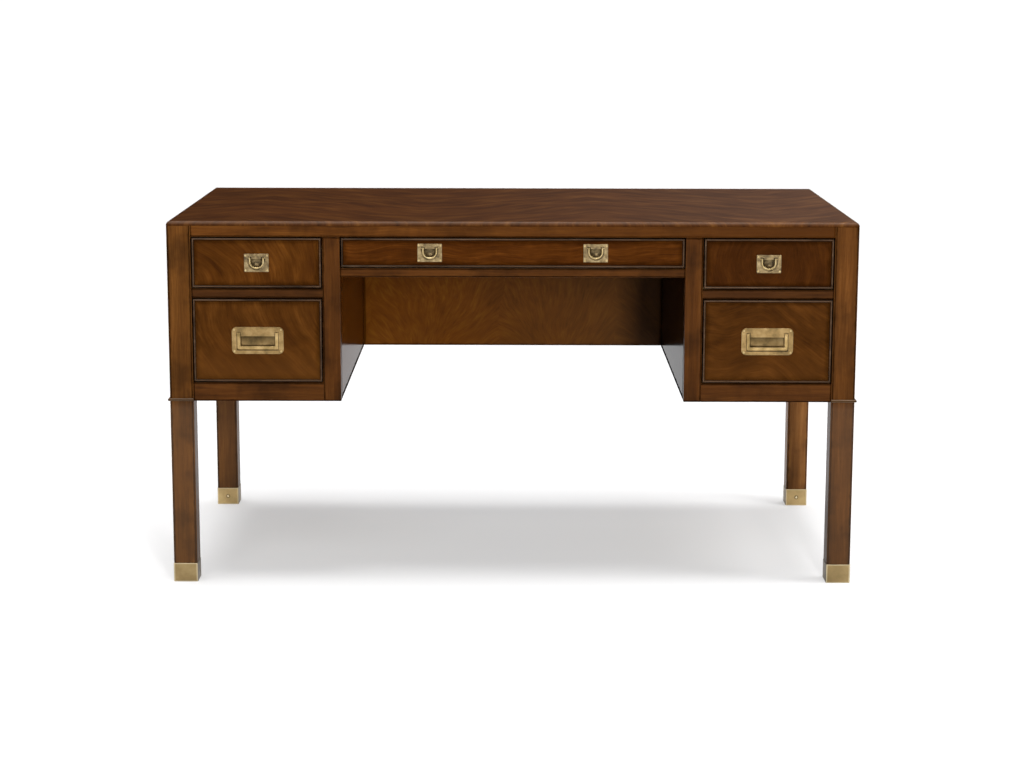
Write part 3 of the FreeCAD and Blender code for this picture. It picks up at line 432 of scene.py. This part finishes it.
# aged cast brass: tarnish in patches, dark patina and painted shade high up in the wells, rubbed bright
# where hands reach; on the caps, painted shade and painted highlights
def agedBrass(name, spec):
    material, tree = newMaterial(name)
    point = addNode(tree, "TexCoord").outputs["Object"]
    place = addNode(tree, "SeparateXYZ", {0: point}).outputs
    patches = addNode(tree, "TexNoise", {"Vector": point, "Scale": 1000 / spec["patch"], "Detail": 4.0,
                                         "Roughness": 0.6})
    dark, mid, light = spec["colors"]
    spread = castSpec["spread"]
    ramp = addNode(tree, "ValToRGB", {"Fac": patches},
                   stops=[(0.5 - spread, dark), (0.5, mid), (0.5 + spread, light)])
    # deep in the plate the colour is scaled from the foot of the well to its head: dark patina and painted
    # shade under the ledge towards the top; where the scale is above one it is painted light
    deep = addNode(tree, "MapRange", {"Value": place[1], "From Min": spec["face"],
                                      "From Max": spec["face"] + castSpec["patinaShadeDeep"] / 1000})
    high = addNode(tree, "MapRange", {"Value": place[2],
                                      "From Min": spec["middle"] - castSpec["wellFoot"] / 1000,
                                      "From Max": spec["middle"] + castSpec["wellHead"] / 1000,
                                      "To Min": spec["wellLow"], "To Max": spec["wellHigh"]})
    well = addNode(tree, "Mix", {0: deep, 2: 1.0, 3: high})
    color = addNode(tree, "Mix", {0: 1.0, 6: ramp, 7: well}, data_type="RGBA", blend_type="MULTIPLY")
    if spec["cap"]:
        cap = spec["cap"]
        lo, hi = cap["box"]
        middle = [(a + b) / 2 for a, b in zip(lo, hi)]
        # the four caps mirror each other, so absolute coordinates fold them into one
        folded = addNode(tree, "VectorMath", {0: point}, operation="ABSOLUTE")
        apart = addNode(tree, "SeparateXYZ", {0: folded}).outputs
        facing = addNode(tree, "NewGeometry").outputs["Normal"]
        facing = addNode(tree, "VectorMath", {0: facing}, operation="ABSOLUTE")
        # painted shade: a dark ring round the screw, on the inner face only
        away = addNode(tree, "VectorMath", {0: folded, 1: middle}, operation="SUBTRACT")
        away = addNode(tree, "VectorMath", {0: away, 1: (1.0, 0.0, 1.0)}, operation="MULTIPLY")
        away = addNode(tree, "VectorMath", {0: away}, operation="LENGTH").outputs["Value"]
        ring = addNode(tree, "MapRange", {"Value": away, "From Min": cap["ringIn"] / 1000,
                                          "From Max": cap["ringOut"] / 1000,
                                          "To Min": cap["ringDark"], "To Max": 1.0})
        outer = addNode(tree, "MapRange", {"Value": apart[1], "From Min": lo[1], "From Max": middle[1]})
        ring = addNode(tree, "Math", {0: ring, 1: outer}, operation="MAXIMUM")
        # painted shade: the sides that look to the kneehole are darkened
        inner = addNode(tree, "MapRange", {"Value": apart[0], "From Min": lo[0], "From Max": middle[0],
                                           "To Min": 1.0, "To Max": 0.0})
        side = addNode(tree, "SeparateXYZ", {0: facing}).outputs[0]
        side = addNode(tree, "Math", {0: side, 1: inner}, operation="MULTIPLY")
        side = addNode(tree, "MapRange", {"Value": side, "To Min": 1.0, "To Max": cap["sideDark"]})
        # painted highlight: edges are made pale
        edge = edgeDistance(tree, folded, facing, lo, hi)
        rim = addNode(tree, "MapRange", {"Value": edge, "From Min": cap["rimWide"] / 2000,
                                         "From Max": cap["rimWide"] / 1000,
                                         "To Min": cap["rim"], "To Max": 0.0})
        color = addNode(tree, "Mix", {0: rim, 6: color.outputs[2], 7: linearColor(cap["rimColor"])},
                        data_type="RGBA")
        capShade = addNode(tree, "Math", {0: ring, 1: side}, operation="MULTIPLY")
        color = addNode(tree, "Mix", {0: 1.0, 6: color.outputs[2], 7: capShade}, data_type="RGBA",
                        blend_type="MULTIPLY")
    # brush marks: 0.1 mm on the real metal, drawn at 0.5 mm so that they show
    thin = 1000 / castSpec["brushWide"]
    lines = addNode(tree, "Mapping", {"Vector": point, "Scale": (1000 / castSpec["brushLong"], thin, thin)})
    lines = addNode(tree, "TexNoise", {"Vector": lines, "Scale": 1.0, "Detail": 2.0})
    gloss = addNode(tree, "MapRange", {"Value": patches, "From Min": noiseLow, "From Max": noiseHigh,
                                       "To Min": spec["roughness"] + castSpec["dull"],
                                       "To Max": spec["roughness"] - castSpec["bright"]})
    bump = addNode(tree, "Bump", {"Strength": castSpec["relief"],
                                  "Distance": castSpec["brushDeep"] / 1000, "Height": lines})
    surface = addNode(tree, "BsdfPrincipled", {"Base Color": color.outputs[2], "Roughness": gloss,
                                               "Metallic": 1.0, "Normal": bump})
    addNode(tree, "OutputMaterial", {"Surface": surface})
    return material


pullBrass = {
    "colors": ("#746140", "#987d51", "#ad9265"), "patch": 24, "roughness": 0.36,
    "face": -0.3805, "middle": 0.0, "wellLow": 0.75, "wellHigh": 0.22, "cap": None,
}
# the small plates are greyer, and the foot of their wells is made lighter than the plate, a painted light
smallBrass = dict(pullBrass, colors=("#635642", "#8e7a57", "#aa9670"), patch=11, wellLow=1.4,
                  wellHigh=0.25)
# the bails have no well: with the face a metre behind the desk, the painted well shade never starts
bailBrass = dict(pullBrass, colors=("#ab9463", "#c8b07e", "#dcc898"), face=1.0, roughness=0.33)
bigBailBrass = dict(bailBrass, colors=("#8a7449", "#ad9160", "#c4a976"), roughness=0.36)
# painted light: the caps behind the desk are lighter than those in front: their face is set at the middle
# of the desk, and what is behind it is made lighter, not darker
postLow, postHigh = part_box("rear_right_post")
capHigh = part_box("foot_caps")[1][2]
capEdges = {"box": ((postLow[0], postLow[1], 0.0), (postHigh[0], postHigh[1], capHigh)),
            "rim": 0.6, "rimWide": 2.4, "rimColor": "#e2d6b6",
            "ringIn": 2.6, "ringOut": 6.0, "ringDark": 0.3, "sideDark": 0.3}
capBrass = dict(pullBrass, colors=("#8b7852", "#957f58", "#a18c63"), patch=40, roughness=0.38, face=0.0,
                wellLow=1.7, wellHigh=1.7, cap=capEdges)
# painted highlight: the screw heads are near-white brass, for the glint on their domes
screwBrass = dict(pullBrass, colors=("#e2d2a4", "#f0e2ba", "#f8eccb"), face=1.0, roughness=0.25)
bailMetal = agedBrass("rubbed_brass_bails", bailBrass)
bigBailMetal = agedBrass("handled_brass_bails", bigBailBrass)
capMetal = agedBrass("brushed_brass_caps", capBrass)
for nodeName in nodes:
    if nodeName.endswith(("_pull_plate", "_pull_plates")):
        lo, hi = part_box(nodeName)
        kind = pullBrass if nodeName.startswith("lower") else smallBrass
        plateMetal = agedBrass("aged_brass_" + nodeName, dict(kind, middle=(lo[2] + hi[2]) / 2))
        dress(nodeName, plateMetal)
    if nodeName.endswith(("_bail", "_pull_screws")):
        dress(nodeName, bailMetal)
for nodeName in ("lower_left_bail", "lower_right_bail"):
    dress(nodeName, bigBailMetal)
dress("foot_caps", capMetal)
dress("foot_cap_screws", agedBrass("polished_brass_cap_screws", screwBrass))
print("brass dressed")


def addStage(name, points, shape):
    # a sheet of the stage: points on a grid of rows and columns, joined into four-cornered faces
    rows, columns = shape
    corner = (np.arange(rows - 1)[:, None] * columns + np.arange(columns - 1)).ravel()
    faces = np.stack([corner, corner + columns, corner + columns + 1, corner + 1], -1)
    mesh = bpy.data.meshes.new(name)
    mesh.from_pydata(points.tolist(), [], faces.tolist())
    sheet = bpy.data.objects.new(name, mesh)
    scene.collection.objects.link(sheet)
    return sheet


def shownRays(tree):
    # 1 for rays that show the stage: from the camera, off polish and through glass
    seen = addNode(tree, "LightPath").outputs
    shown = addNode(tree, "Math", {0: seen["Is Camera Ray"], 1: seen["Is Glossy Ray"]}, operation="MAXIMUM")
    return addNode(tree, "Math", {0: shown, 1: seen["Is Transmission Ray"]}, operation="MAXIMUM")


# the stage: a flat floor out to the horizon, white paint that shows the soft shadow
stageSpec = {"reach": 500.0, "steps": 5, "paint": "#cecece", "lift": 0.37, "cloth": "#0c0c0c",
             "clothMiddle": (0.0, -1.05, 0.0), "clothHalf": (0.8, 1.45, 1.0), "clothEdge": (0.9, 1.1)}
steps = np.linspace(-stageSpec["reach"], stageSpec["reach"], stageSpec["steps"])
gridX, gridY = np.meshgrid(steps, steps, indexing="ij")
floorPoints = np.stack([gridX, gridY, 0.0 * gridX], -1).reshape(-1, 3)
floor = addStage("studio_floor", floorPoints, gridX.shape)
floorPaint, tree = newMaterial("white_floor_paint")
shown = shownRays(tree)
lift = addNode(tree, "Math", {0: shown, 1: stageSpec["lift"]}, operation="MULTIPLY")
# where a dark cloth lies on the floor, out of sight of the camera, little light is thrown back up
place = addNode(tree, "TexCoord").outputs["Object"]
place = addNode(tree, "VectorMath", {0: place, 1: stageSpec["clothMiddle"]}, operation="SUBTRACT")
place = addNode(tree, "VectorMath", {0: place, 1: stageSpec["clothHalf"]}, operation="DIVIDE")
place = addNode(tree, "VectorMath", {0: place}, operation="ABSOLUTE")
place = addNode(tree, "SeparateXYZ", {0: place}).outputs
outside = addNode(tree, "Math", {0: place[0], 1: place[1]}, operation="MAXIMUM")
start, end = stageSpec["clothEdge"]
outside = addNode(tree, "MapRange", {"Value": outside, "From Min": start, "From Max": end},
                  interpolation_type="SMOOTHSTEP")
pale = addNode(tree, "Math", {0: shown, 1: outside}, operation="MAXIMUM")
tone = addNode(tree, "Mix", {0: pale, 6: linearColor(stageSpec["cloth"]),
                             7: linearColor(stageSpec["paint"])}, data_type="RGBA")
paint = addNode(tree, "BsdfDiffuse", {"Color": tone.outputs[2]})
glow = addNode(tree, "Emission", {"Strength": lift})
both = addNode(tree, "AddShader", {0: paint, 1: glow})
addNode(tree, "OutputMaterial", {"Surface": both})
floor.data.materials.append(floorPaint)

# world: shows white a little way above the horizon and is dim higher up; its light on matt surfaces
# is weak from the front and stronger from behind
worldSpec = {"front": "#5c5c60", "back": "#a0a0a4", "turn": (-0.2, 0.5),
             "shown": [(0.0, "#ffffff"), (0.12, "#ffffff"), (0.2, "#5c5c60"), (0.6, "#606064")]}
world = bpy.data.worlds.new("studio_world")
scene.world = world
world.use_nodes = True
tree = world.node_tree
tree.nodes.clear()
look = addNode(tree, "SeparateXYZ", {0: addNode(tree, "TexCoord").outputs["Generated"]}).outputs
sky = addNode(tree, "ValToRGB", {"Fac": look[2]}, stops=worldSpec["shown"])
start, end = worldSpec["turn"]
behind = addNode(tree, "MapRange", {"Value": look[1], "From Min": start, "From Max": end},
                 interpolation_type="SMOOTHSTEP")
light = addNode(tree, "Mix", {0: behind, 6: linearColor(worldSpec["front"]),
                              7: linearColor(worldSpec["back"])}, data_type="RGBA")
tone = addNode(tree, "Mix", {0: shownRays(tree), 6: light.outputs[2], 7: sky}, data_type="RGBA")
air = addNode(tree, "Background", {"Color": tone.outputs[2]})
addNode(tree, "OutputWorld", {"Surface": air})

# card: a large curved screen behind the desk, out of the picture, for the polished top to mirror: dark on
# the left, grey on the right; a patch of a sphere, worked out from azimuth and elevation
cardSpec = {"radius": 30.0, "wide": 62.0, "low": 0.4, "high": 50.0, "columns": 25, "rows": 13,
            "turn": (-0.08, 0.22), "ends": (0.5, 0.85),
            "left": [(0.0, "#606062"), (0.03, "#161618"), (0.2, "#18181c"), (0.45, "#404042")],
            "right": [(0.0, "#b4b4b4"), (0.05, "#8c8c8c"), (0.2, "#a09c98"), (0.45, "#ccc8c4")]}
azimuth = np.radians(np.linspace(-cardSpec["wide"], cardSpec["wide"], cardSpec["columns"]))
elevation = np.radians(np.linspace(cardSpec["low"], cardSpec["high"], cardSpec["rows"]))
azimuth, elevation = np.meshgrid(azimuth, elevation, indexing="ij")
cardPoints = [np.sin(azimuth) * np.cos(elevation), np.cos(azimuth) * np.cos(elevation), np.sin(elevation)]
cardPoints = np.stack(cardPoints, -1).reshape(-1, 3) * cardSpec["radius"]
card = addStage("reflection_card", cardPoints, azimuth.shape)
cardCloth, tree = newMaterial("grey_card_cloth")
look = addNode(tree, "TexCoord").outputs["Object"]
look = addNode(tree, "VectorMath", {0: look, "Scale": 1 / cardSpec["radius"]}, operation="SCALE")
look = addNode(tree, "SeparateXYZ", {0: look}).outputs
left = addNode(tree, "ValToRGB", {"Fac": look[2]}, stops=cardSpec["left"])
right = addNode(tree, "ValToRGB", {"Fac": look[2]}, stops=cardSpec["right"])
start, end = cardSpec["turn"]
turn = addNode(tree, "MapRange", {"Value": look[0], "From Min": start, "From Max": end},
               interpolation_type="SMOOTHSTEP")
tone = addNode(tree, "Mix", {0: turn, 6: left, 7: right}, data_type="RGBA")
glow = addNode(tree, "Emission", {"Color": tone.outputs[2]})
# its side ends fade out
start, end = cardSpec["ends"]
solid = addNode(tree, "MapRange", {"Value": look[1], "From Min": start, "From Max": end},
                interpolation_type="SMOOTHSTEP")
graded = addNode(tree, "MixShader", {0: solid, 1: addNode(tree, "BsdfTransparent"), 2: glow})
addNode(tree, "OutputMaterial", {"Surface": graded})
cardCloth.cycles.emission_sampling = "NONE"
card.data.materials.append(cardCloth)
card.visible_camera = False
card.visible_diffuse = False
card.visible_shadow = False

# lamps: a broad soft light straight above, a softbox above the camera, a tall one beside the camera that
# reaches into the kneehole, and a weak one on the right
overheadSpec = {"strength": 2.7, "spread": 32}
sunData = bpy.data.lights.new("overhead_light", "SUN")
sunData.energy = overheadSpec["strength"]
sunData.angle = math.radians(overheadSpec["spread"])
sun = bpy.data.objects.new("overhead_light", sunData)
scene.collection.objects.link(sun)
# a lamp with gleam is mirrored by the polish and the brass
lampSpecs = {
    "high_softbox": {"place": (-0.7, -3.4, 3.2), "aim": (0.0, -0.3, 0.5), "size": (2.4, 1.4),
                     "power": 42.0, "gleam": True},
    "front_softbox": {"place": (0.8, -4.6, 1.1), "aim": (0.0, -0.2, 0.55), "size": (0.36, 1.0),
                      "power": 127.0, "gleam": False},
    "right_softbox": {"place": (1.9, -0.4, 2.1), "aim": (0.5, 0.0, 0.5), "size": (0.8, 0.8),
                      "power": 20.0, "gleam": True},
}
for lampName, spec in lampSpecs.items():
    lampData = bpy.data.lights.new(lampName, "AREA")
    lampData.shape = "RECTANGLE"
    lampData.size, lampData.size_y = spec["size"]
    lampData.energy = spec["power"]
    lamp = bpy.data.objects.new(lampName, lampData)
    lamp.location = spec["place"]
    toward = Vector(spec["aim"]) - Vector(spec["place"])
    lamp.rotation_euler = toward.to_track_quat("-Z", "Y").to_euler()
    lamp.visible_camera = False
    lamp.visible_glossy = spec["gleam"]
    scene.collection.objects.link(lamp)

# camera: 79 mm lens from the front, a little above the top
viewSpec = {"place": (0.0, -4.981, 1.2486), "pitch": 10.16, "yaw": 0.034, "roll": -0.132,
            "lens": 79.2, "sensor": 36.0, "far": 2000.0}
cameraData = bpy.data.cameras.new("front_camera")
cameraData.sensor_width = viewSpec["sensor"]
cameraData.lens = viewSpec["lens"]
cameraData.clip_end = viewSpec["far"]
camera = bpy.data.objects.new("front_camera", cameraData)
camera.location = viewSpec["place"]
turns = (90 - viewSpec["pitch"], viewSpec["roll"], viewSpec["yaw"])
camera.rotation_euler = [math.radians(angle) for angle in turns]
scene.collection.objects.link(camera)
scene.camera = camera
print("stage, lamps and camera set")
